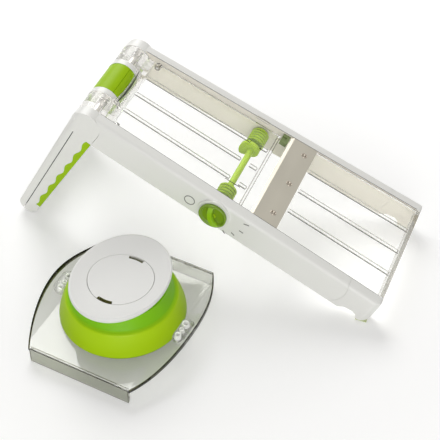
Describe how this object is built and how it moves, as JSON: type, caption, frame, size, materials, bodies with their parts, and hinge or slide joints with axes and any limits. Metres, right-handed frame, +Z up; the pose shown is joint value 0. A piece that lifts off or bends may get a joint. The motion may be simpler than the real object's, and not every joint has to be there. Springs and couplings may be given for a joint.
{
  "type": "mandoline slicer",
  "caption": "White mandoline slicer on a folding leg with clear ramps, steel blade and lime details, and a clear food holder beside it.",
  "frame": {"origin": "middle of the near foot pad's face, on the floor", "axes": "+Z up, +X along the slicer from its high leg end towards its foot end, +Y from the near rail (the one with the dial) to the far rail"},
  "size_m": [0.4189, 0.341, 0.1691],
  "materials": {
    "white": "glossy",
    "clear": "glossy",
    "green": "glossy",
    "grip": "satin",
    "soft": "satin",
    "pads": "matte",
    "marks": "matte",
    "blade_steel": "brushed",
    "steel": "polished"
  },
  "bodies": {
    "frame": {"near_rail": "white", "far_rail": "white", "near_end_cap": "white", "far_end_cap": "white", "foot_pads": "grip", "cap_screws": "steel", "end_bracket": "clear", "outfeed_ramp": "clear", "blade": "blade_steel", "blade_rivets": "steel", "lock_tab": "green", "dial_marks": "marks", "ramp_pins": "steel"},
    "ramp": {"infeed_ramp": "clear"},
    "dial_shaft": {"dial": "green", "cam_shaft": "green", "near_cam": "green", "far_cam": "green", "cam_disc": "green", "shaft_clip": "steel"},
    "leg": {"leg_frame": "white", "leg_inner_shells": "white", "leg_grips": "grip", "leg_pads": "pads", "barrel_sleeve": "green", "barrel_rings": "white", "leg_axle": "steel"},
    "holder": {"guard": "clear", "guard_clips": "clear", "soft_body": "soft", "holder_cap": "white"},
    "plunger": {"button": "white", "plunger_tube": "white", "prong_plate": "white", "prongs": "steel"}
  },
  "joints": [
    {"name": "leg_fold", "type": "hinge", "parent": "frame", "child": "leg", "pos_m": [-0.30872, 0.073, 0.15252], "axis": [0, 1, 0], "range_deg": [0, 83]},
    {"name": "ramp_tilt", "type": "hinge", "parent": "frame", "child": "ramp", "pos_m": [-0.28096, 0.073, 0.15013], "axis": [0, -1, 0], "range_deg": [0, 2.8]},
    {"name": "dial_turn", "type": "hinge", "parent": "frame", "child": "dial_shaft", "pos_m": [-0.16472, 0.073, 0.08865], "axis": [0, 1, 0], "range_deg": [0, 140]},
    {"name": "holder_lift", "type": "slide", "parent": "frame", "child": "holder", "axis": [0, 0, 1], "range_m": [0, 0.15]},
    {"name": "plunger_rise", "type": "slide", "parent": "holder", "child": "plunger", "axis": [0, 0, 1], "range_m": [0, 0.026], "stiffness_N_per_m": 20}
  ],
  "couplings": [
    {"joint": "dial_turn", "follows": "ramp_tilt", "ratio": 50}
  ]
}
